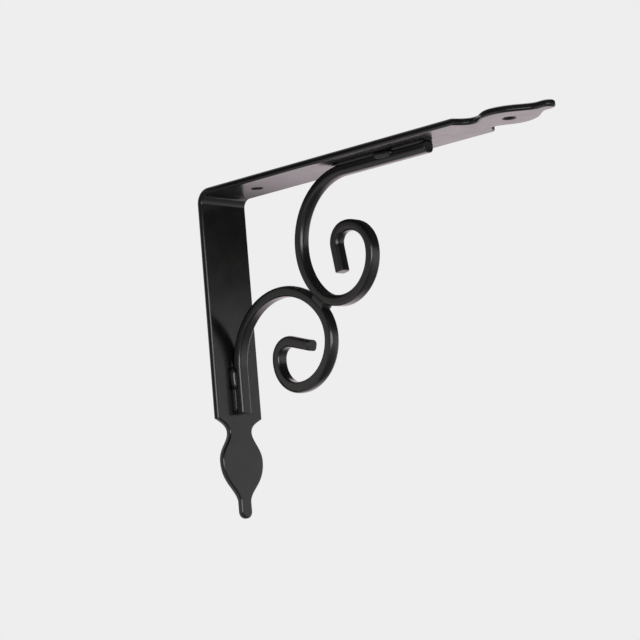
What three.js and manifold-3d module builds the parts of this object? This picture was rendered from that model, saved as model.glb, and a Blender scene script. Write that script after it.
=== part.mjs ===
// A shelf bracket in black painted steel: one flat strap bent into an L, with the same leaf
// shaped finial at both ends, and two scrolls of square bar welded into the corner of the L.
//
// Millimetres, +Z up. The back of the wall leg lies in the plane y = 0 and the bracket stands
// out from it towards -Y. The origin is on that back face, on the bracket's middle line.

import * as THREE from 'three';
import { mergeVertices } from 'three/addons/utils/BufferGeometryUtils.js';
import Module from 'manifold-3d';

// Strap
const shelfLength = 198.4; // wall face to the tip of the shelf leg
const wallLength = 150; // shelf face to the tip of the wall leg
const strapWidth = 28;
const strapThickness = 3;
const bendRadius = 7; // outside of the bend
const originDrop = 50; // shelf face down to the origin

// Finial: places are measured along the leg from the strap's square shoulder, and half widths
// from the leg's middle line. A straight finger runs on from the leaf to the tip.
const neckFromShoulder = 6.2;
const neckHalfWidth = 7;
const leafFromShoulder = 19.2; // where the leaf is widest
const leafHalfWidth = 12.7;
const fingerFromShoulder = 37.2;
const fingerHalfWidth = 3.3;
const shelfFingerLength = 6.4;
const wallFingerLength = 8;

// Screw holes, both in the shelf leg
const holeDiameter = 5;
const rearHoleFromWall = 25;
const frontHoleFromShoulder = 19.8;

// Scroll bar
const barWidth = 6; // along the wall
const barThickness = 5; // in the plane of the scroll
const barEdge = 1.3; // rounding of the bar's long edges

// Each scroll is a straight lead welded along its leg, four arcs that tighten, and a straight
// tail. Radii are of the bar's middle line. The tack is measured along the lead from where the
// scroll leaves its leg.
const upperLead = 49.2;
const upperTack = 25.5;
const upperFirstRadius = 29.75;
const upperSecondRadius = 18.9;
const upperThirdRadius = 12.3;
const upperLastRadius = 7;
const upperTail = 11.6;
const lowerLead = 20.4;
const lowerTack = 4.2;
const lowerFirstRadius = 30;
const lowerSecondRadius = 19.8;
const lowerThirdRadius = 13.3;
const lowerLastRadius = 7.1;
const lowerTail = 12.4;

// Turns are [radius, sweep in degrees]
const upperScroll = {
  lead: upperLead,
  tack: upperTack,
  turns: [[upperFirstRadius, 138], [upperSecondRadius, 139], [upperThirdRadius, 90],
    [upperLastRadius, 92]],
  tail: upperTail,
};
const lowerScroll = {
  lead: lowerLead,
  tack: lowerTack,
  turns: [[lowerFirstRadius, 146], [lowerSecondRadius, 127], [lowerThirdRadius, 97],
    [lowerLastRadius, 97]],
  tail: lowerTail,
};
const upperFromWall = 80.1; // wall face to where the upper scroll leaves the shelf leg
const scrollGap = 0.15; // between the two scrolls, where the weld bridges them

// Weld metal
const tackLength = 7; // along the lead
const tackReach = 1.8; // out from the bar's side, and down from the strap
const bridgeBack = 2.5; // the weld between the scrolls, from where they meet towards the wall
const bridgeFront = 7; // and the other way, where the wedge between the bars is open
const bridgeDepth = 5.4; // from one bar towards the other
const bridgeProud = 0.2; // past the bars' side faces

// Fineness of the round stretches
const turnStep = 7; // degrees along a scroll
const curveSegments = 12;
const holeSides = 24;

const black = () => new THREE.MeshStandardMaterial({ color: 0x0b0b0d, roughness: 0.22, metalness: 0 });

const wasm = await Module();
wasm.setup();

function toSolid(geometry) {
  const bare = geometry.clone();
  bare.deleteAttribute('normal');
  bare.deleteAttribute('uv');
  const merged = mergeVertices(bare);
  return new wasm.Manifold(new wasm.Mesh({
    numProp: 3,
    vertProperties: Float32Array.from(merged.attributes.position.array),
    triVerts: Uint32Array.from(merged.index.array),
  }));
}

function toMesh(name, solid) {
  const { vertProperties, triVerts } = solid.getMesh();
  const geometry = new THREE.BufferGeometry();
  geometry.setAttribute('position', new THREE.BufferAttribute(vertProperties, 3));
  geometry.setIndex(new THREE.BufferAttribute(triVerts, 1));
  const flat = geometry.toNonIndexed();
  flat.computeVertexNormals();
  const mesh = new THREE.Mesh(flat, black());
  mesh.name = name;
  return mesh;
}

// Drawing planes. In each one a shape's x and y are the two lengths named, and it is extruded
// along the third direction.
const up = new THREE.Vector3(0, 0, 1);
const along = new THREE.Vector3(1, 0, 0);
const out = new THREE.Vector3(0, -1, 0);
const down = up.clone().negate();
const shelfFace = new THREE.Vector3(0, 0, originDrop);

function plane(x, y) {
  return new THREE.Matrix4()
    .makeBasis(x, y, new THREE.Vector3().crossVectors(x, y))
    .setPosition(shelfFace);
}
const sidePlane = plane(out, down); // out from the wall, down from the shelf face
const shelfPlane = plane(along, out); // along the wall, out from it
const wallPlane = plane(along, down); // along the wall, down from the shelf face

// Half a turn about the corner's diagonal, which carries a thing on the shelf leg to the wall leg
const swapLegs = new THREE.Matrix4().makeBasis(
  new THREE.Vector3(0, 1, 0), new THREE.Vector3(1, 0, 0), new THREE.Vector3(0, 0, -1),
);

function prism(shape, from, to, matrix) {
  const geometry = new THREE.ExtrudeGeometry(shape, {
    depth: to - from, bevelEnabled: false, curveSegments,
  });
  geometry.translate(0, 0, from);
  return toSolid(geometry.applyMatrix4(matrix));
}

const shoulderAt = (length, fingerLength) => length - fingerLength - fingerFromShoulder;

// Outline of one leg seen square on, with the tip of its finial at y = length
function legOutline(length, fingerLength) {
  const half = strapWidth / 2;
  const margin = 1;
  const at = (fromShoulder) => shoulderAt(length, fingerLength) + fromShoulder;
  const flareFirst = neckFromShoulder * 0.25;
  const flareLast = neckFromShoulder * 0.5;
  const neckPull = (leafFromShoulder - neckFromShoulder) * 0.3;
  const leafPull = (leafFromShoulder - neckFromShoulder) * 0.46;
  const cheekPull = (fingerFromShoulder - leafFromShoulder) * 0.56;
  const fingerPull = (fingerFromShoulder - leafFromShoulder) * 0.3;
  const flareHalf = neckHalfWidth + (half - neckHalfWidth) * 0.57;
  const fingerFlare = fingerHalfWidth * 1.36;
  const shape = new THREE.Shape();
  shape.moveTo(half, -margin);
  shape.lineTo(half, at(0));
  shape.bezierCurveTo(flareHalf, at(flareFirst), neckHalfWidth, at(flareLast),
    neckHalfWidth, at(neckFromShoulder));
  shape.bezierCurveTo(neckHalfWidth, at(neckFromShoulder + neckPull),
    leafHalfWidth, at(leafFromShoulder - leafPull), leafHalfWidth, at(leafFromShoulder));
  shape.bezierCurveTo(leafHalfWidth, at(leafFromShoulder + cheekPull),
    fingerFlare, at(fingerFromShoulder - fingerPull), fingerHalfWidth, at(fingerFromShoulder));
  shape.lineTo(fingerHalfWidth, length - fingerHalfWidth);
  shape.absarc(0, length - fingerHalfWidth, fingerHalfWidth, 0, Math.PI);
  shape.lineTo(-fingerHalfWidth, at(fingerFromShoulder));
  shape.bezierCurveTo(-fingerFlare, at(fingerFromShoulder - fingerPull),
    -leafHalfWidth, at(leafFromShoulder + cheekPull), -leafHalfWidth, at(leafFromShoulder));
  shape.bezierCurveTo(-leafHalfWidth, at(leafFromShoulder - leafPull),
    -neckHalfWidth, at(neckFromShoulder + neckPull), -neckHalfWidth, at(neckFromShoulder));
  shape.bezierCurveTo(-neckHalfWidth, at(flareLast), -flareHalf, at(flareFirst), -half, at(0));
  shape.lineTo(-half, -margin);
  return shape;
}

// The L seen from the side, as bent from flat bar
function bentProfile() {
  const inner = bendRadius - strapThickness;
  const shape = new THREE.Shape();
  shape.moveTo(0, wallLength);
  shape.lineTo(0, bendRadius);
  shape.absarc(bendRadius, bendRadius, bendRadius, Math.PI, Math.PI * 1.5);
  shape.lineTo(shelfLength, 0);
  shape.lineTo(shelfLength, strapThickness);
  shape.lineTo(bendRadius, strapThickness);
  shape.absarc(bendRadius, bendRadius, inner, Math.PI * 1.5, Math.PI, true);
  shape.lineTo(strapThickness, wallLength);
  return shape;
}

function hole(fromWall) {
  const through = strapThickness * 3;
  const drill = new THREE.CylinderGeometry(holeDiameter / 2, holeDiameter / 2, through, holeSides);
  drill.rotateX(Math.PI / 2);
  drill.translate(0, -fromWall, originDrop - strapThickness / 2);
  return toSolid(drill);
}

function makeStrap() {
  const reach = Math.max(strapWidth / 2, leafHalfWidth) + 1;
  const cover = bendRadius + 1;
  const bent = prism(bentProfile(), -reach, reach, sidePlane);
  const shelfLeg = prism(legOutline(shelfLength, shelfFingerLength), -1, cover, shelfPlane);
  const wallLeg = prism(legOutline(wallLength, wallFingerLength), -cover, 1, wallPlane);
  const shelfShoulder = shoulderAt(shelfLength, shelfFingerLength);
  return bent
    .intersect(shelfLeg.add(wallLeg))
    .subtract(hole(rearHoleFromWall))
    .subtract(hole(shelfShoulder + frontHoleFromShoulder));
}

// Middle line of a scroll as points with their headings. a runs along the leg and b away from
// it. The lead comes back along the leg to a = leaves, and the turns carry it round.
function middleLine(scroll, leaves) {
  let a = leaves;
  let b = strapThickness + barThickness / 2;
  let heading = Math.PI;
  const stations = [{ a: leaves + scroll.lead, b, heading }, { a, b, heading }];
  for (const [radius, degrees] of scroll.turns) {
    const steps = Math.ceil(degrees / turnStep);
    const centreA = a + radius * Math.sin(heading);
    const centreB = b - radius * Math.cos(heading);
    const start = heading;
    for (let i = 1; i <= steps; i += 1) {
      heading = start - THREE.MathUtils.degToRad(degrees) * i / steps;
      a = centreA - radius * Math.sin(heading);
      b = centreB + radius * Math.cos(heading);
      stations.push({ a, b, heading });
    }
  }
  a += scroll.tail * Math.cos(heading);
  b += scroll.tail * Math.sin(heading);
  stations.push({ a, b, heading });
  return stations;
}

// A scroll's bar, thicker all round by grow
function scrollBar(stations, mirrored, grow = 0) {
  const half = barThickness / 2 + grow;
  const side = (offset) => stations.map(({ a, b, heading }) => {
    const sideA = a - offset * Math.sin(heading);
    const sideB = b + offset * Math.cos(heading);
    return mirrored ? new THREE.Vector2(sideB, sideA) : new THREE.Vector2(sideA, sideB);
  });
  const shape = new THREE.Shape([...side(half), ...side(-half).reverse()]);
  const depth = barWidth - 2 * barEdge + 2 * grow;
  const geometry = new THREE.ExtrudeGeometry(shape, {
    depth, bevelThickness: barEdge, bevelSize: barEdge, bevelOffset: -barEdge, bevelSegments: 2,
  });
  geometry.translate(0, 0, -depth / 2);
  return toSolid(geometry.applyMatrix4(sidePlane));
}

// Tacks on both sides of a lead, in the corner between the bar and the strap
function leadTacks(scroll, leaves, mirrored) {
  const at = leaves + scroll.tack;
  const room = new THREE.Shape([
    new THREE.Vector2(strapThickness, strapThickness),
    new THREE.Vector2(shelfLength, strapThickness),
    new THREE.Vector2(shelfLength, wallLength),
    new THREE.Vector2(strapThickness, wallLength),
  ]);
  const clear = prism(room, -strapWidth / 2, strapWidth / 2, sidePlane);
  return [-1, 1].map((sign) => {
    const tack = new THREE.SphereGeometry(1, 14, 10);
    tack.scale(tackLength / 2, tackReach, tackReach);
    tack.translate(at, strapThickness, sign * barWidth / 2);
    if (mirrored) tack.applyMatrix4(swapLegs);
    return toSolid(tack.applyMatrix4(sidePlane)).intersect(clear);
  });
}

// The weld that fills the wedge between the scrolls: round ended, with rounded sides
function meetingWeld(towards) {
  const half = bridgeDepth / 2;
  const shape = new THREE.Shape();
  shape.absarc(0, bridgeFront - half, half, 0, Math.PI);
  shape.absarc(0, half - bridgeBack, half, Math.PI, Math.PI * 2);
  const depth = barWidth + 2 * (bridgeProud - barEdge);
  const geometry = new THREE.ExtrudeGeometry(shape, {
    depth, curveSegments, bevelThickness: barEdge, bevelSize: barEdge, bevelOffset: -barEdge,
    bevelSegments: 2,
  });
  geometry.translate(0, 0, -depth / 2);
  geometry.rotateZ(towards);
  geometry.translate(meeting.x, meeting.y, 0);
  return toSolid(geometry.applyMatrix4(sidePlane));
}

// The lower scroll's first turn touches the upper one's, scrollGap apart
const onLead = strapThickness + barThickness / 2;
const upperRadius = upperScroll.turns[0][0];
const lowerRadius = lowerScroll.turns[0][0];
const upperCentre = new THREE.Vector2(upperFromWall, onLead + upperRadius);
const lowerCentreOut = onLead + lowerRadius;
const centresApart = upperRadius + lowerRadius + barThickness + scrollGap;
const lowerFromShelf = upperCentre.y
  + Math.sqrt(centresApart ** 2 - (upperCentre.x - lowerCentreOut) ** 2);
const lowerCentre = new THREE.Vector2(lowerCentreOut, lowerFromShelf);
const meeting = upperCentre.clone().sub(lowerCentre)
  .setLength(lowerRadius + barThickness / 2 + scrollGap / 2).add(lowerCentre);

function makeUpperScroll() {
  const stations = middleLine(upperScroll, upperFromWall);
  return leadTacks(upperScroll, upperFromWall, false)
    .reduce((bar, tack) => bar.add(tack), scrollBar(stations, false));
}

function makeLowerScroll() {
  const stations = middleLine(lowerScroll, lowerFromShelf);
  const towards = upperCentre.clone().sub(lowerCentre).angle();
  const upperRoom = scrollBar(middleLine(upperScroll, upperFromWall), false, scrollGap);
  return leadTacks(lowerScroll, lowerFromShelf, true)
    .reduce((bar, tack) => bar.add(tack), scrollBar(stations, true))
    .add(meetingWeld(towards).subtract(upperRoom));
}

const bracket = new THREE.Group();
bracket.name = 'shelf_bracket';
bracket.add(toMesh('strap', makeStrap()));
bracket.add(toMesh('upper_scroll', makeUpperScroll()));
bracket.add(toMesh('lower_scroll', makeLowerScroll()));

export default bracket;
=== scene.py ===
"""A shelf bracket in gloss black enamel: a flat strap bent into an L with leaf ends, and two scrolls of
square bar welded into its corner.

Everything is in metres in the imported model's frame: the back of the wall leg is the plane y = 0, the
bracket stands out from it towards -Y, and the shelf face is at z = SHELF_FACE. Two flat co-ordinates are
used for the side view: p runs out from the wall leg's back and q runs down from the shelf face.
"""
import math

import bmesh
import bpy
from mathutils import Matrix, Vector, noise


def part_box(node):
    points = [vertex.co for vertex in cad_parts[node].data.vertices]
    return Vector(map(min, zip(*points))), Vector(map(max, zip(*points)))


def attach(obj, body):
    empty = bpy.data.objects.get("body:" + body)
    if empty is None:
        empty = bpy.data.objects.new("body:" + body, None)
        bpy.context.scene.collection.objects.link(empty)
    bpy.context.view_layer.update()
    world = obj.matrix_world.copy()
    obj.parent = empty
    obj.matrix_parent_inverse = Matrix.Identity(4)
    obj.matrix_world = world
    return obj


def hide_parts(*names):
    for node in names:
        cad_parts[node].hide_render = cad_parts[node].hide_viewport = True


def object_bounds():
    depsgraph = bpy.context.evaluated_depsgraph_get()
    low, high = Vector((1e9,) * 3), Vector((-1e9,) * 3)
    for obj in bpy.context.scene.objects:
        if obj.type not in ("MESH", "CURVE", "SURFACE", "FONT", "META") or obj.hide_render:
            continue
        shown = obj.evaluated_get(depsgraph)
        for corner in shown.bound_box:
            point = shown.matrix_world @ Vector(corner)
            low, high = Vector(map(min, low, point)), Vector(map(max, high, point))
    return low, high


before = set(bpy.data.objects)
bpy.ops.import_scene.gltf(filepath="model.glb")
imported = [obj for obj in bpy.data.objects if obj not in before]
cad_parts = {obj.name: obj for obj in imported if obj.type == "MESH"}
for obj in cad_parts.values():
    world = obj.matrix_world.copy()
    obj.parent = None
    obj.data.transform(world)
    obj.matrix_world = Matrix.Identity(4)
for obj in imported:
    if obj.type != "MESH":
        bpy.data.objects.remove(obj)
cad_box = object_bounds()

MM = 0.001

# The strap
SHELF_LEG = 198.4 * MM
WALL_LEG = 150 * MM
STRAP_WIDTH = 28 * MM
STRAP_THICKNESS = 3 * MM
BEND_RADIUS = 7 * MM
STRAP_EDGE = 1 * MM
SHELF_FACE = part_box("strap")[1].z

# The leaf finial, measured from the strap's shoulder
NECK_AT, NECK_HALF = 6.2 * MM, 7 * MM
LEAF_AT, LEAF_HALF = 19.2 * MM, 12.7 * MM
FINGER_AT, FINGER_HALF = 37.2 * MM, 3.3 * MM
SHELF_FINGER = 6.4 * MM
WALL_FINGER = 8 * MM

# The screw holes
HOLE_RADIUS = 2.5 * MM
REAR_HOLE_FROM_WALL = 25 * MM
FRONT_HOLE_FROM_SHOULDER = 19.8 * MM

# The scroll bar: its width runs along X, and bending rounded the edges outside the curl more
BAR_WIDTH = 6 * MM
BAR_THICKNESS = 5 * MM
BAR_INNER_EDGE = 1.3 * MM
BAR_OUTER_EDGE = 2.3 * MM
CUT_EDGE = 0.45 * MM
SCROLL_GAP = 0.15 * MM
UPPER_FROM_WALL = 80.1 * MM
UPPER = {"lead": 49.2 * MM, "tack": 25.5 * MM, "tail": 11.6 * MM, "fillet": 0.45,
         "radii": (29.75, 18.9, 12.3, 7), "sweeps": (138, 139, 90, 92)}
LOWER = {"lead": 20.4 * MM, "tack": 4.2 * MM, "tail": 12.4 * MM, "fillet": 1.0,
         "radii": (30, 19.8, 13.3, 7.1), "sweeps": (146, 127, 97, 97)}

# Weld metal, and the enamel that fills the corners beside the leads
TACK_LENGTH = 11 * MM
TACK_REACH = 1.9 * MM
TACK_LEAN = 0.06
TACK_OFF = 1.0 * MM
TACK_LUMPS = 0.06
BRIDGE_BACK = 2.5 * MM
BRIDGE_FRONT = 7 * MM
BRIDGE_PROUD = 0.2 * MM
BRIDGE_SINK = 2 * MM
FILLET_OUT, FILLET_UP = 0.5 * MM, 1.2 * MM
FILLET_SINK = 0.3 * MM

# The camera, about the outer corner of the bend
VIEW_AZIMUTH = math.radians(46.67)
VIEW_RISE = math.radians(8.50)
VIEW_ROLL = math.radians(-4.84)
VIEW_DISTANCE = 1.249
CORNER_RIGHT, CORNER_UP = -46.8 * MM, 58.2 * MM
LENS, SENSOR = 153.34, 36.0

# The cards that the gloss shows: glowing stand-ins for the shelf board above and the wall behind, with
# painted shade in their glow. Each fade is (share of the way, radiance)
CARD_OFF = 0.5 * MM
CARD_CLEAR = 1.5 * MM
FINIAL_CLEAR = 0.4 * MM
OVERHEAD_LEFT, OVERHEAD_RIGHT, OVERHEAD_FRONT = -0.112, 0.6, -0.25
# Painted shade: the overhead card glows dimmest at the wall and brighter towards its front edge
OVERHEAD_FADE = ((0.0, 0.035), (0.3, 0.045), (0.6, 0.085), (0.8, 0.12), (1.0, 0.16))
OVERHEAD_TINT = (1.1, 1.0, 0.88)
LEFT_TINT = (1.03, 1.0, 0.97)
LILAC = (1.07, 0.94, 1.0)
BACK_WIDE, BACK_LOW = 1.5, 1.2
BACK_FADE = 0.5
# Painted shade and light on the back card: it glows dimmest just under the shelf face and brighter lower
# down, and brighter right of the wall leg than left of it
BACK_LEFT = ((0.0, 0.16), (0.012, 0.26), (0.024, 0.38), (0.048, 0.46), (0.14, 0.66), (0.2, 0.76),
             (1.0, 0.7))
BACK_RIGHT = ((0.0, 0.15), (0.016, 0.42), (0.028, 0.80), (0.05, 1.08), (0.08, 1.2), (0.2, 1.25),
              (0.6, 0.8), (1.0, 0.6))
BACK_BLEND = 0.01
# Painted shadow of the strap on the wall: the back card glows dim in a strip just left of the wall leg
LEG_SHADE_FROM, LEG_SHADE_TO = -0.016, -0.032
LEG_SHADE = (0.12, 0.12, 0.12, 1)

# The room by height and from left to right, its window and lamp, and the floor
ROOM_BAND = ((0.0, 0.12), (0.16, 0.2), (0.22, 0.24), (0.28, 0.38), (0.36, 0.62), (0.44, 0.94),
             (0.55, 0.92), (0.62, 0.4), (0.7, 0.2), (1.0, 0.2))
ROOM_TURN = ((0.0, 0.4), (0.05, 0.5), (0.14, 0.9), (0.45, 1.05), (1.0, 1.0))
ROOM_BEHIND = 0.72
ROOM_DIM = 0.05
REAR_FROM, REAR_TO = -0.05, 0.2
WINDOW_TOWARDS = (-0.68, -0.73, 0.04)
WINDOW_AWAY = 2.5
WINDOW_SIZE = (2.3, 0.95)
WINDOW_RADIANCE = 4.6
LAMP_TOWARDS = (0.1, 0.1, 1)
LAMP_AWAY = 2.4
LAMP_SIZE = (2.0, 2.0)
LAMP_RADIANCE = 2.2
FLOOR_AT, STAGE_REACH = -0.9, 5.0
FLOOR_GREY = 0.8
FLOOR_LIFT = 0.3
BACKDROP_GREY = 0.855


def side_point(x, p, q):
    return Vector((x, -p, SHELF_FACE - q))


def new_object(name, mesh):
    piece = bpy.data.objects.new(name, mesh)
    bpy.context.scene.collection.objects.link(piece)
    return piece


def baked(source, name):
    """A plain mesh object from an object with its modifiers or curve settings evaluated."""
    graph = bpy.context.evaluated_depsgraph_get()
    mesh = bpy.data.meshes.new_from_object(source.evaluated_get(graph), depsgraph=graph)
    piece = new_object(name, mesh)
    bpy.data.objects.remove(source)
    return piece


def face_outwards(bm):
    """Turns the faces of one closed shell outwards, which shows in the sign of its volume."""
    bmesh.ops.recalc_face_normals(bm, faces=bm.faces)
    if bm.calc_volume(signed=True) < 0:
        bmesh.ops.reverse_faces(bm, faces=bm.faces)


def level_normals(piece):
    """Keeps broad faces flat in shading while the small roundings between them stay smooth."""
    piece.data.shade_smooth()
    name = piece.name
    weigh = piece.modifiers.new("flat faces", "WEIGHTED_NORMAL")
    weigh.mode = "FACE_AREA"
    weigh.weight = 100
    piece.name = name + "_raw"
    return baked(piece, name)


def bezier(a, b, c, d, steps):
    """Points of a cubic from a to d, without a."""
    out = []
    for i in range(1, steps + 1):
        t = i / steps
        out.append(a * (1 - t) ** 3 + b * 3 * t * (1 - t) ** 2 + c * 3 * t * t * (1 - t) + d * t ** 3)
    return out


def finial_side(finger_length, steps=14):
    """One side of a finial, from the strap's shoulder to the tip, as (half width, distance from the tip):
    a hollow neck, the leaf, and a round ended finger."""
    half = STRAP_WIDTH / 2
    between = LEAF_AT - NECK_AT
    reach = FINGER_AT - LEAF_AT
    tip = FINGER_AT + finger_length
    shoulder = Vector((half, 0))
    neck = Vector((NECK_HALF, NECK_AT))
    leaf = Vector((LEAF_HALF, LEAF_AT))
    finger = Vector((FINGER_HALF, FINGER_AT))
    points = [shoulder]
    points += bezier(shoulder, Vector((NECK_HALF + (half - NECK_HALF) * 0.57, NECK_AT * 0.25)),
                     Vector((NECK_HALF, NECK_AT * 0.5)), neck, steps)
    points += bezier(neck, Vector((NECK_HALF, NECK_AT + between * 0.3)),
                     Vector((LEAF_HALF, LEAF_AT - between * 0.46)), leaf, steps)
    points += bezier(leaf, Vector((LEAF_HALF, LEAF_AT + reach * 0.56)),
                     Vector((FINGER_HALF * 1.36, FINGER_AT - reach * 0.3)), finger, steps)
    for i in range(steps):
        turn = math.pi / 2 * i / steps
        points.append(Vector((FINGER_HALF * math.cos(turn), tip - FINGER_HALF * (1 - math.sin(turn)))))
    return [(w, tip - d) for w, d in points]


def bend_path(along):
    """Where a distance along the strap's outer face, from the shelf leg's tip, lies after bending: the
    point (p, q) on that face and the unit direction (p, q) into the metal."""
    straight = SHELF_LEG - BEND_RADIUS
    turn_length = BEND_RADIUS * math.pi / 2
    if along <= straight:
        return (SHELF_LEG - along, 0.0), (0.0, 1.0)
    if along >= straight + turn_length:
        return (0.0, BEND_RADIUS + along - straight - turn_length), (1.0, 0.0)
    turn = (along - straight) / BEND_RADIUS
    s, c = math.sin(turn), math.cos(turn)
    return (BEND_RADIUS * (1 - s), BEND_RADIUS * (1 - c)), (s, c)


def strap_blank():
    """The flat blank as cut: the outline and the two punched holes, with rounded edges. Its y runs from
    the shelf leg's tip to the wall leg's tip and its z is the depth into the metal."""
    hole_sides = 40
    total = SHELF_LEG + WALL_LEG - 2 * BEND_RADIUS + BEND_RADIUS * math.pi / 2
    front_hole = SHELF_FINGER + FINGER_AT - FRONT_HOLE_FROM_SHOULDER
    near = finial_side(SHELF_FINGER)
    far = [(w, total - d) for w, d in finial_side(WALL_FINGER)]
    tip = [(0.0, 0.0)]
    right = tip + near[::-1] + far + [(0.0, total)]
    outline = right + [(-w, y) for w, y in right[-2:0:-1]]
    curve = bpy.data.curves.new("strap_blank", "CURVE")
    curve.dimensions = "2D"
    curve.fill_mode = "BOTH"
    curve.extrude = STRAP_THICKNESS / 2 - STRAP_EDGE
    curve.bevel_depth = STRAP_EDGE
    curve.bevel_resolution = 4
    curve.offset = -STRAP_EDGE
    holes = []
    for y in (front_hole, SHELF_LEG - REAR_HOLE_FROM_WALL):
        ring = [2 * math.pi * i / hole_sides for i in range(hole_sides)]
        holes.append([(HOLE_RADIUS * math.cos(a), y + HOLE_RADIUS * math.sin(a)) for a in ring])
    for loop in [outline] + holes:
        spline = curve.splines.new("POLY")
        spline.points.add(len(loop) - 1)
        for point, (x, y) in zip(spline.points, loop):
            point.co = (x, y, 0, 1)
        spline.use_cyclic_u = True
    return baked(new_object("strap_blank", curve), "strap_blank_mesh")


def bent_strap():
    """The blank, cut across in thin bands where the bend is, then bent round."""
    bands = 20
    blank = strap_blank()
    mesh = blank.data
    bm = bmesh.new()
    bm.from_mesh(mesh)
    bmesh.ops.remove_doubles(bm, verts=bm.verts, dist=1e-6)
    start = SHELF_LEG - BEND_RADIUS
    for i in range(bands + 1):
        y = start + BEND_RADIUS * math.pi / 2 * i / bands
        bmesh.ops.bisect_plane(bm, geom=bm.verts[:] + bm.edges[:] + bm.faces[:], dist=1e-7,
                               plane_co=(0, y, 0), plane_no=(0, 1, 0))
    for vert in bm.verts:
        (p, q), (into_p, into_q) = bend_path(vert.co.y)
        depth = vert.co.z + STRAP_THICKNESS / 2
        vert.co = side_point(vert.co.x, p + into_p * depth, q + into_q * depth)
    face_outwards(bm)
    bm.to_mesh(mesh)
    bm.free()
    blank.name = "bent_strap"
    return level_normals(blank)


def middle_line(scroll, leaves, step=3.0):
    """The middle of a scroll's bar as (along the leg, away from the leg), from the lead's end."""
    a, b, heading = leaves, STRAP_THICKNESS + BAR_THICKNESS / 2, math.pi
    points = [(leaves + scroll["lead"], b), (a, b)]
    for radius, degrees in zip(scroll["radii"], scroll["sweeps"]):
        radius *= MM
        centre = (a + radius * math.sin(heading), b - radius * math.cos(heading))
        begin, steps = heading, math.ceil(degrees / step)
        for i in range(1, steps + 1):
            heading = begin - math.radians(degrees) * i / steps
            a = centre[0] - radius * math.sin(heading)
            b = centre[1] + radius * math.cos(heading)
            points.append((a, b))
    points.append((a + scroll["tail"] * math.cos(heading), b + scroll["tail"] * math.sin(heading)))
    return points


def rounded_ends(points, radius, half):
    """Adds a few stations at both ends where the bar draws in, so its cut ends have soft edges. Returns
    (point, share of the full section)."""
    insets = [0.0, 0.12, 0.35, 0.65, 1.0]

    def end(first, second):
        along = (second - first).normalized()
        return [(first + along * radius * s, 1 - radius * (1 - math.sqrt(1 - (1 - s) ** 2)) / half)
                for s in insets]

    head = end(points[0], points[1])
    tail = end(points[-1], points[-2])
    return head + [(point, 1.0) for point in points[1:-1]] + tail[::-1]


def socket_value(modifier, tree, name, value):
    """Sets a modifier's input by its socket's identifier."""
    item = next(s for s in tree.interface.items_tree if s.name == name and s.in_out == "INPUT")
    modifier[item.identifier] = value


def bar_tree():
    """Geometry Nodes: sweeps a rectangle along the curve that it is given, with its own rounding inside
    and outside the curl."""
    tree = bpy.data.node_groups.new("sweep_bar", "GeometryNodeTree")
    face = tree.interface
    face.new_socket("Path", in_out="INPUT", socket_type="NodeSocketGeometry")
    for name in ("Width", "Thickness", "Inner Edge", "Outer Edge"):
        face.new_socket(name, in_out="INPUT", socket_type="NodeSocketFloat")
    face.new_socket("Finish", in_out="INPUT", socket_type="NodeSocketMaterial")
    face.new_socket("Bar", in_out="OUTPUT", socket_type="NodeSocketGeometry")
    nodes, link = tree.nodes, tree.links.new
    given, result = nodes.new("NodeGroupInput"), nodes.new("NodeGroupOutput")
    square = nodes.new("GeometryNodeCurvePrimitiveQuadrilateral")
    fillet = nodes.new("GeometryNodeFilletCurve")
    fillet.mode = "POLY"
    fillet.inputs["Count"].default_value = 5
    corner, apart = nodes.new("GeometryNodeInputPosition"), nodes.new("ShaderNodeSeparateXYZ")
    outside, edge = nodes.new("ShaderNodeMath"), nodes.new("ShaderNodeMix")
    outside.operation = "GREATER_THAN"
    outside.inputs[1].default_value = 0.0
    upright = nodes.new("GeometryNodeSetCurveNormal")
    upright.mode = "FREE"
    upright.inputs["Normal"].default_value = (1, 0, 0)
    radius = nodes.new("GeometryNodeInputRadius")
    sweep = nodes.new("GeometryNodeCurveToMesh")
    sweep.inputs["Fill Caps"].default_value = True
    realize = nodes.new("GeometryNodeRealizeInstances")
    paint = nodes.new("GeometryNodeSetMaterial")
    link(given.outputs["Width"], square.inputs["Width"])
    link(given.outputs["Thickness"], square.inputs["Height"])
    link(square.outputs["Curve"], fillet.inputs["Curve"])
    link(corner.outputs["Position"], apart.inputs["Vector"])
    link(apart.outputs["Y"], outside.inputs[0])
    link(outside.outputs[0], edge.inputs["Factor"])
    link(given.outputs["Inner Edge"], edge.inputs["A"])
    link(given.outputs["Outer Edge"], edge.inputs["B"])
    link(edge.outputs["Result"], fillet.inputs["Radius"])
    link(given.outputs["Path"], upright.inputs["Curve"])
    link(upright.outputs["Curve"], sweep.inputs["Curve"])
    link(fillet.outputs["Curve"], sweep.inputs["Profile Curve"])
    link(radius.outputs["Radius"], sweep.inputs["Scale"])
    link(sweep.outputs["Mesh"], realize.inputs["Geometry"])
    link(realize.outputs["Geometry"], paint.inputs["Geometry"])
    link(given.outputs["Finish"], paint.inputs["Material"])
    link(paint.outputs["Geometry"], result.inputs["Bar"])
    return tree


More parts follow.
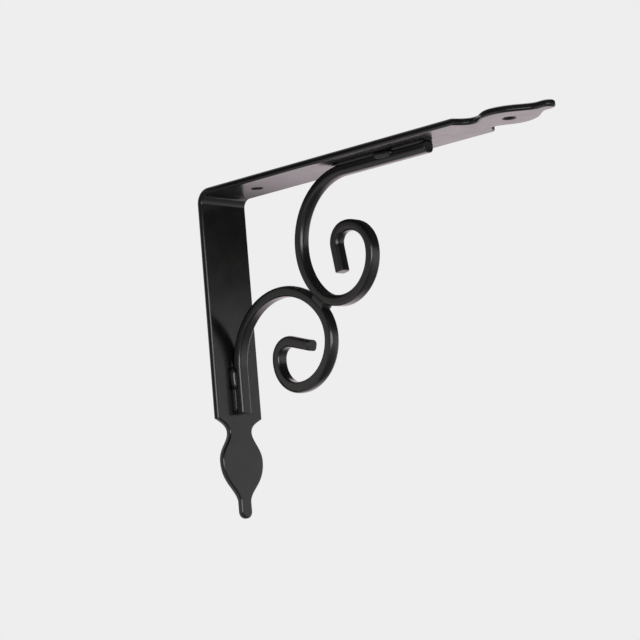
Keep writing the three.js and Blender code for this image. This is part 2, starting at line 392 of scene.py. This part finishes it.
def scroll_bar(name, scroll, leaves, mirrored, tree, finish):
    """One scroll: its middle line as a curve, swept by the tree and made a plain mesh."""
    places = [side_point(0, b, a) if mirrored else side_point(0, a, b)
              for a, b in middle_line(scroll, leaves)]
    stations = rounded_ends(places, CUT_EDGE, BAR_THICKNESS / 2)
    curve = bpy.data.curves.new(name + "_path", "CURVE")
    curve.dimensions = "3D"
    spline = curve.splines.new("POLY")
    spline.points.add(len(stations) - 1)
    for point, (place, share) in zip(spline.points, stations):
        point.co = (*place, 1)
        point.radius = share
    path = new_object(name + "_path", curve)
    sweep = path.modifiers.new("sweep", "NODES")
    sweep.node_group = tree
    for key, value in (("Width", BAR_WIDTH), ("Thickness", BAR_THICKNESS), ("Inner Edge", BAR_INNER_EDGE),
                       ("Outer Edge", BAR_OUTER_EDGE), ("Finish", finish)):
        socket_value(sweep, tree, key, value)
    bar = baked(path, name)
    bm = bmesh.new()
    bm.from_mesh(bar.data)
    bmesh.ops.remove_doubles(bm, verts=bm.verts, dist=1e-7)
    face_outwards(bm)
    bm.to_mesh(bar.data)
    bm.free()
    return level_normals(bar)


def weld_bead(name, at, mirrored, sign, sides=40, rings=28):
    """A bead of weld metal in the corner between a lead's side and the strap: long and full, leaning a
    little off the strap, thicker at one end and lumpy where the pool set."""
    lump_size = 1.2
    seed = Vector((at * 900, sign, 3.0))

    def on_bead(unit):
        run = unit.z
        grown = 1 - TACK_LUMPS / 2 + TACK_LUMPS * noise.noise(unit * lump_size + seed)
        full = math.sqrt(1 + run * run)
        taper = 0.96 - 0.12 * run
        thick = TACK_REACH * grown * full * taper
        out = sign * (BAR_WIDTH / 2 + unit.x * thick)
        along = at + run * TACK_LENGTH / 2 * grown
        away = STRAP_THICKNESS + TACK_OFF + unit.y * thick + run * TACK_LEAN * TACK_LENGTH / 2
        return side_point(out, away, along) if mirrored else side_point(out, along, away)

    bm = bmesh.new()
    rows = []
    for j in range(1, rings):
        down = math.pi * j / rings
        flat = [2 * math.pi * k / sides for k in range(sides)]
        units = [Vector((math.sin(down) * math.cos(a), math.sin(down) * math.sin(a), math.cos(down)))
                 for a in flat]
        rows.append([bm.verts.new(on_bead(unit)) for unit in units])
    skin(bm, rows, [on_bead(Vector((0, 0, pole))) for pole in (1, -1)])
    return closed_piece(name, bm)


def corner_fillet(name, scroll, leaves, mirrored, sign, steps=6):
    """The enamel that ran into the corner between a lead's side and the strap: a slim sloping fillet."""
    before_lead, short_of_end = 5 * MM, 0.4 * MM
    half = BAR_WIDTH / 2
    wide, high = FILLET_OUT * scroll["fillet"], FILLET_UP * scroll["fillet"]
    slope = [(half + wide * (1 - i / steps), high * i / steps) for i in range(steps + 1)]
    inside = [(half - 2 * FILLET_SINK, high), (half - 4 * FILLET_SINK, -FILLET_SINK),
              (half + wide, -FILLET_SINK)]
    first, last = leaves - before_lead, leaves + scroll["lead"] - short_of_end
    stations = ((first, 0.05), (first + 2 * MM, 0.5), (first + 5 * MM, 1.0), (last - 2 * MM, 1.0),
                (last, 0.6))
    bm = bmesh.new()
    rows = []
    for along, share in stations:
        row = []
        for out, up in slope + inside:
            away = STRAP_THICKNESS + (up * share if up > 0 else up)
            side = sign * (half + (out - half) * (share if out > half else 1.0))
            place = side_point(side, away, along) if mirrored else side_point(side, along, away)
            row.append(bm.verts.new(place))
        rows.append(row)
    skin(bm, rows)
    return closed_piece(name, bm)


def skin(bm, rows, ends=None):
    """Faces between closed rings of points, with both ends closed by a fan to the given points, or else
    to the middles of the end rings."""
    if ends is None:
        ends = [sum((v.co for v in row), Vector()) / len(row) for row in (rows[0], rows[-1])]
    for one, two in zip(rows, rows[1:]):
        for k in range(len(one)):
            after = (k + 1) % len(one)
            bm.faces.new((one[k], one[after], two[after], two[k]))
    for row, end in zip((rows[0], rows[-1]), ends):
        middle = bm.verts.new(end)
        for k in range(len(row)):
            bm.faces.new((row[k], row[(k + 1) % len(row)], middle))


def closed_piece(name, bm):
    face_outwards(bm)
    mesh = bpy.data.meshes.new(name)
    bm.to_mesh(mesh)
    bm.free()
    mesh.shade_smooth()
    return new_object(name, mesh)


def lead_welds(name, scroll, leaves, mirrored):
    """The beads and fillets on both sides of a lead, as one piece."""
    parts = []
    for sign in (-1, 1):
        parts.append(weld_bead(name, leaves + scroll["tack"], mirrored, sign))
        parts.append(corner_fillet(name, scroll, leaves, mirrored, sign))
    return joined(name, parts)


def joined(name, parts):
    """Several meshes as one piece."""
    bm = bmesh.new()
    for part in parts:
        bm.from_mesh(part.data)
        bpy.data.objects.remove(part)
    mesh = bpy.data.meshes.new(name)
    bm.to_mesh(mesh)
    bm.free()
    mesh.shade_smooth()
    return new_object(name, mesh)


def scroll_centres():
    """The centres (p, q) of the two first turns: the lower one sits where the bars all but touch."""
    on_lead = STRAP_THICKNESS + BAR_THICKNESS / 2
    upper_r, lower_r = UPPER["radii"][0] * MM, LOWER["radii"][0] * MM
    upper = Vector((UPPER_FROM_WALL, on_lead + upper_r))
    apart = upper_r + lower_r + BAR_THICKNESS + SCROLL_GAP
    out = on_lead + lower_r
    return upper, Vector((out, upper.y + math.sqrt(apart ** 2 - (upper.x - out) ** 2)))


def meeting_weld(name):
    """Weld metal that fills the wedge between the scrolls: smooth, blunt ended and almost flush."""
    upper, lower = scroll_centres()
    towards = (upper - lower).normalized()
    along = Vector((-towards.y, towards.x))
    meet = lower + towards * (LOWER["radii"][0] * MM + BAR_THICKNESS / 2 + SCROLL_GAP / 2)
    stations, ring = 26, 40
    square_sides, round_top = 0.35, 0.9
    blunt_front, blunt_back = 2.5, 3.5
    upper_r = UPPER["radii"][0] * MM + BAR_THICKNESS / 2
    lower_r = LOWER["radii"][0] * MM + BAR_THICKNESS / 2
    bm = bmesh.new()
    rows = []
    for i in range(stations + 1):
        t = -BRIDGE_BACK + (BRIDGE_FRONT + BRIDGE_BACK) * i / stations
        high = SCROLL_GAP / 2 + t * t / 2 / upper_r + BRIDGE_SINK
        low = -(SCROLL_GAP / 2 + t * t / 2 / lower_r + BRIDGE_SINK)
        share = min(1.0, (stations - i + 0.3) / blunt_front, (i + 0.3) / blunt_back) ** 0.5
        half = (BAR_WIDTH / 2 + BRIDGE_PROUD) * share
        row = []
        for k in range(ring):
            turn = 2 * math.pi * k / ring
            c, s = math.cos(turn), math.sin(turn)
            side = math.copysign(abs(c) ** square_sides, c) * half
            rise = math.copysign(abs(s) ** round_top, s) * share
            lift = (high + low) / 2 + rise * (high - low) / 2
            place = meet + along * t + towards * lift
            row.append(bm.verts.new(side_point(side, place.x, place.y)))
        rows.append(row)
    skin(bm, rows)
    return closed_piece(name, bm)


def black_enamel():
    """Gloss black enamel over steel: a fine orange peel, a slow waviness of the bar under it, and a
    gloss that varies a little from place to place."""
    usual_low, usual_high = 0.3, 0.7
    material = bpy.data.materials.new("black_enamel")
    material.use_nodes = True
    nodes, link = material.node_tree.nodes, material.node_tree.links.new
    shader = nodes["Principled BSDF"]
    where = nodes.new("ShaderNodeTexCoord")

    def cloud(scale, detail):
        """Noise, which stays between usual_low and usual_high almost everywhere."""
        texture = nodes.new("ShaderNodeTexNoise")
        texture.inputs["Scale"].default_value = scale
        texture.inputs["Detail"].default_value = detail
        link(where.outputs["Object"], texture.inputs["Vector"])
        return texture

    def bump(height, strength, distance, under=None):
        node = nodes.new("ShaderNodeBump")
        node.inputs["Strength"].default_value = strength
        node.inputs["Distance"].default_value = distance
        link(height.outputs["Fac"], node.inputs["Height"])
        if under:
            link(under.outputs["Normal"], node.inputs["Normal"])
        return node

    def ranged(source, low, high):
        node = nodes.new("ShaderNodeMapRange")
        node.inputs["From Min"].default_value = usual_low
        node.inputs["From Max"].default_value = usual_high
        node.inputs["To Min"].default_value = low
        node.inputs["To Max"].default_value = high
        link(source.outputs["Fac"], node.inputs["Value"])
        return node

    waves = bump(cloud(45, 1), 0.5, 0.00012)
    peel = bump(cloud(900, 2), 0.35, 0.00001, waves)
    link(peel.outputs["Normal"], shader.inputs["Normal"])
    gloss = ranged(cloud(140, 3), 0.17, 0.24)
    link(gloss.outputs["Result"], shader.inputs["Roughness"])
    tint = nodes.new("ShaderNodeMix")
    tint.data_type = "RGBA"
    tint.inputs["A"].default_value = (0.003, 0.003, 0.0032, 1)
    tint.inputs["B"].default_value = (0.006, 0.006, 0.0062, 1)
    link(ranged(cloud(60, 4), 0, 1).outputs["Result"], tint.inputs["Factor"])
    link(tint.outputs["Result"], shader.inputs["Base Color"])
    shader.inputs["IOR"].default_value = 1.5
    return material


def finish_piece(piece, material, *nodes):
    piece.data.materials.clear()
    piece.data.materials.append(material)
    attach(piece, "root")
    if nodes:
        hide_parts(*nodes)


def make_bracket():
    enamel = black_enamel()
    tree = bar_tree()
    lower_leaves = scroll_centres()[1].y
    finish_piece(bent_strap(), enamel, "strap")
    shelf_scroll = scroll_bar("shelf_scroll", UPPER, UPPER_FROM_WALL, False, tree, enamel)
    wall_scroll = scroll_bar("wall_scroll", LOWER, lower_leaves, True, tree, enamel)
    finish_piece(shelf_scroll, enamel, "upper_scroll")
    finish_piece(wall_scroll, enamel, "lower_scroll")
    finish_piece(lead_welds("shelf_tacks", UPPER, UPPER_FROM_WALL, False), enamel)
    finish_piece(lead_welds("wall_tacks", LOWER, lower_leaves, True), enamel)
    finish_piece(meeting_weld("scroll_weld"), enamel)


def glow_material(name, colour):
    """A plain glowing card: returns the material and its emission node."""
    material = bpy.data.materials.new(name)
    material.use_nodes = True
    nodes = material.node_tree.nodes
    nodes.remove(nodes["Principled BSDF"])
    glow = nodes.new("ShaderNodeEmission")
    glow.inputs["Color"].default_value = (*colour, 1)
    material.node_tree.links.new(glow.outputs[0], nodes["Material Output"].inputs["Surface"])
    return material, glow


def grey_ramp(nodes, stops, colour=(1, 1, 1)):
    """A colour ramp of one hue through (position, value) stops."""
    ramp = nodes.new("ShaderNodeValToRGB")
    ramp.color_ramp.elements[0].position = stops[0][0]
    ramp.color_ramp.elements[1].position = stops[-1][0]
    for position, _ in stops[1:-1]:
        ramp.color_ramp.elements.new(position)
    for element, (_, value) in zip(ramp.color_ramp.elements, stops):
        element.color = (*[value * c for c in colour], 1)
    return ramp


def ranged_value(nodes, link, source, low, high):
    """A value that goes from 0 to 1 while the source goes from low to high."""
    node = nodes.new("ShaderNodeMapRange")
    node.inputs["From Min"].default_value = low
    node.inputs["From Max"].default_value = high
    link(source, node.inputs["Value"])
    return node.outputs["Result"]


def object_place(nodes, link):
    """The outputs X, Y and Z of a point's place on its object."""
    where = nodes.new("ShaderNodeTexCoord")
    split = nodes.new("ShaderNodeSeparateXYZ")
    link(where.outputs["Object"], split.inputs["Vector"])
    return split.outputs


def mixed(nodes, link, share, first, second):
    """The colour between two, each a colour or an output. Sockets 6 and 7 are the node's colours."""
    node = nodes.new("ShaderNodeMix")
    node.data_type = "RGBA"
    link(share, node.inputs["Factor"])
    for socket, value in ((node.inputs[6], first), (node.inputs[7], second)):
        if isinstance(value, tuple):
            socket.default_value = value
        else:
            link(value, socket)
    return node.outputs[2]


def card(name, sheets, material, casts=False):
    """Flat cards round the bracket that show in its gloss alone. Each sheet is four corners."""
    mesh = bpy.data.meshes.new(name)
    corners = [corner for sheet in sheets for corner in sheet]
    mesh.from_pydata(corners, [], [tuple(range(i, i + 4)) for i in range(0, len(corners), 4)])
    piece = new_object(name, mesh)
    piece.data.materials.append(material)
    piece.visible_camera = False
    piece.visible_shadow = casts
    for ray in ("diffuse", "transmission", "volume_scatter"):
        setattr(piece, "visible_" + ray, False)


def overhead_sheet(x0, x1, y0, y1):
    z = SHELF_FACE + CARD_OFF
    return [(x0, y0, z), (x1, y0, z), (x1, y1, z), (x0, y1, z)]


def finial_surround(slot):
    """Small sheets that close the overhead card's slot up to the shelf finial's outline."""
    sheets = []
    z = SHELF_FACE + CARD_OFF
    places = [(w + FINIAL_CLEAR, d - SHELF_LEG) for w, d in finial_side(SHELF_FINGER, 6)]
    for (x0, y0), (x1, y1) in zip(places, places[1:]):
        for side in (-1, 1):
            edge = side * slot
            sheets.append([(side * x0, y0, z), (side * x1, y1, z), (edge, y1, z), (edge, y0, z)])
    return sheets


def back_sheet(x0, x1, z0, z1):
    y = CARD_OFF
    return [(x0, y, z0), (x1, y, z0), (x1, y, z1), (x0, y, z1)]


def make_cards():
    """A dim card over the bracket and a pale one behind it, both slotted round the strap, which show in its
    gloss alone. Both glow, and their fades paint the shade under the shelf and the strap's shadow on the
    wall."""
    slot = STRAP_WIDTH / 2 + CARD_CLEAR
    near, far, front = OVERHEAD_LEFT, OVERHEAD_RIGHT, OVERHEAD_FRONT
    ahead = -SHELF_LEG - FINIAL_CLEAR
    dim, glow = glow_material("dim_card", (1, 1, 1))
    nodes, link = dim.node_tree.nodes, dim.node_tree.links.new
    place = object_place(nodes, link)
    # Painted shade: the overhead card's glow darkens towards the wall
    outward = ranged_value(nodes, link, place["Y"], 0.0, front)
    fade = grey_ramp(nodes, OVERHEAD_FADE, OVERHEAD_TINT)
    link(outward, fade.inputs["Fac"])
    link(fade.outputs["Color"], glow.inputs["Color"])
    sheets = [overhead_sheet(near, -slot, front, 0), overhead_sheet(slot, far, front, 0),
              overhead_sheet(-slot, slot, front, ahead)]
    card("overhead_card", sheets + finial_surround(slot), dim, casts=True)

    pale, glow = glow_material("pale_card", (1, 1, 1))
    nodes, link = pale.node_tree.nodes, pale.node_tree.links.new
    place = object_place(nodes, link)
    # Painted shade: the back card's glow darkens towards the shelf face
    down = ranged_value(nodes, link, place["Z"], SHELF_FACE, SHELF_FACE - BACK_FADE)
    left, right = grey_ramp(nodes, BACK_LEFT, LEFT_TINT), grey_ramp(nodes, BACK_RIGHT, LILAC)
    link(down, left.inputs["Fac"])
    link(down, right.inputs["Fac"])
    # Painted shadow: the strap's shadow on the wall, in a strip just left of the wall leg
    past_leg = ranged_value(nodes, link, place["X"], LEG_SHADE_FROM, LEG_SHADE_TO)
    shade = mixed(nodes, link, past_leg, LEG_SHADE, left.outputs["Color"])
    to_right = ranged_value(nodes, link, place["X"], -BACK_BLEND, BACK_BLEND)
    across = mixed(nodes, link, to_right, shade, right.outputs["Color"])
    link(across, glow.inputs["Color"])
    wide, low = BACK_WIDE, SHELF_FACE - BACK_LOW
    under = SHELF_FACE - WALL_LEG - CARD_CLEAR
    sheets = [back_sheet(-wide, -slot, low, SHELF_FACE), back_sheet(slot, wide, low, SHELF_FACE),
              back_sheet(-slot, slot, low, under)]
    card("back_card", sheets, pale)


def make_stage():
    """A pale floor well below the bracket, and a pale backdrop all round that only the camera sees."""
    reach = STAGE_REACH
    mesh = bpy.data.meshes.new("floor")
    corners = [(x * reach, y * reach, FLOOR_AT) for x, y in ((-1, -1), (1, -1), (1, 1), (-1, 1))]
    mesh.from_pydata(corners, [], [(0, 1, 2, 3)])
    floor = new_object("floor", mesh)
    paint = bpy.data.materials.new("pale_floor")
    paint.use_nodes = True
    shader = paint.node_tree.nodes["Principled BSDF"]
    shader.inputs["Base Color"].default_value = (FLOOR_GREY, FLOOR_GREY, FLOOR_GREY, 1)
    shader.inputs["Roughness"].default_value = 0.9
    shader.inputs["Emission Color"].default_value = (1, 1, 1, 1)
    shader.inputs["Emission Strength"].default_value = FLOOR_LIFT
    floor.data.materials.append(paint)
    floor.visible_glossy = False
    bm = bmesh.new()
    bmesh.ops.create_uvsphere(bm, u_segments=48, v_segments=24, radius=reach)
    mesh = bpy.data.meshes.new("backdrop")
    bm.to_mesh(mesh)
    bm.free()
    backdrop = new_object("backdrop", mesh)
    backdrop.data.materials.append(glow_material("pale_backdrop", [BACKDROP_GREY] * 3)[0])
    for ray in ("diffuse", "glossy", "transmission", "volume_scatter", "shadow"):
        setattr(backdrop, "visible_" + ray, False)


def softbox(name, direction, distance, width, height, radiance):
    """A soft lamp in the given direction from the bracket's middle, facing it."""
    middle = (cad_box[0] + cad_box[1]) / 2
    data = bpy.data.lights.new(name, "AREA")
    data.shape = "RECTANGLE"
    data.size, data.size_y = width, height
    data.energy = radiance * math.pi * width * height
    lamp = bpy.data.objects.new(name, data)
    bpy.context.scene.collection.objects.link(lamp)
    place = middle + Vector(direction).normalized() * distance
    turn = (middle - place).to_track_quat("-Z", "Y")
    lamp.matrix_world = Matrix.Translation(place) @ turn.to_matrix().to_4x4()


def make_light():
    """A room that is bright at eye level and dim above and below, even behind the bracket, with a wide
    window on the camera's side and a soft lamp above."""
    world = bpy.data.worlds.new("studio")
    world.use_nodes = True
    bpy.context.scene.world = world
    nodes, link = world.node_tree.nodes, world.node_tree.links.new

    def maths(operation, first, second):
        node = nodes.new("ShaderNodeMath")
        node.operation = operation
        for socket, value in zip(node.inputs, (first, second)):
            if isinstance(value, float):
                socket.default_value = value
            else:
                link(value, socket)
        return node.outputs[0]

    where = nodes.new("ShaderNodeTexCoord")
    split = nodes.new("ShaderNodeSeparateXYZ")
    link(where.outputs["Generated"], split.inputs["Vector"])
    band, turn = grey_ramp(nodes, ROOM_BAND), grey_ramp(nodes, ROOM_TURN)
    link(ranged_value(nodes, link, split.outputs["Z"], -1, 1), band.inputs["Fac"])
    link(ranged_value(nodes, link, split.outputs["X"], -1, 1), turn.inputs["Fac"])
    room = maths("MULTIPLY", band.outputs["Color"], turn.outputs["Color"])
    rear = ranged_value(nodes, link, split.outputs["Y"], REAR_FROM, REAR_TO)
    level = nodes.new("ShaderNodeMix")
    link(rear, level.inputs["Factor"])
    link(room, level.inputs["A"])
    level.inputs["B"].default_value = ROOM_BEHIND
    link(maths("ADD", level.outputs["Result"], ROOM_DIM), nodes["Background"].inputs["Color"])
    softbox("window", WINDOW_TOWARDS, WINDOW_AWAY, *WINDOW_SIZE, WINDOW_RADIANCE)
    softbox("overhead", LAMP_TOWARDS, LAMP_AWAY, *LAMP_SIZE, LAMP_RADIANCE)


def make_camera():
    """The photograph's viewpoint: low, to the left and in front, looking slightly up."""
    ahead = Vector((math.sin(VIEW_AZIMUTH) * math.cos(VIEW_RISE),
                    math.cos(VIEW_AZIMUTH) * math.cos(VIEW_RISE), math.sin(VIEW_RISE)))
    level = Vector((math.cos(VIEW_AZIMUTH), -math.sin(VIEW_AZIMUTH), 0))
    rising = level.cross(ahead)
    right = level * math.cos(VIEW_ROLL) + rising * math.sin(VIEW_ROLL)
    above = rising * math.cos(VIEW_ROLL) - level * math.sin(VIEW_ROLL)
    corner = side_point(0, 0, 0)
    eye = corner - right * CORNER_RIGHT - above * CORNER_UP - ahead * VIEW_DISTANCE
    data = bpy.data.cameras.new("camera")
    data.lens, data.sensor_width = LENS, SENSOR
    data.clip_start, data.clip_end = 0.05, 50
    camera = bpy.data.objects.new("camera", data)
    bpy.context.scene.collection.objects.link(camera)
    axes = Matrix((right, above, -ahead)).transposed().to_4x4()
    camera.matrix_world = Matrix.Translation(eye) @ axes
    bpy.context.scene.camera = camera


make_camera()
make_bracket()
make_stage()
make_cards()
make_light()
bpy.context.scene.view_settings.view_transform = "Standard"
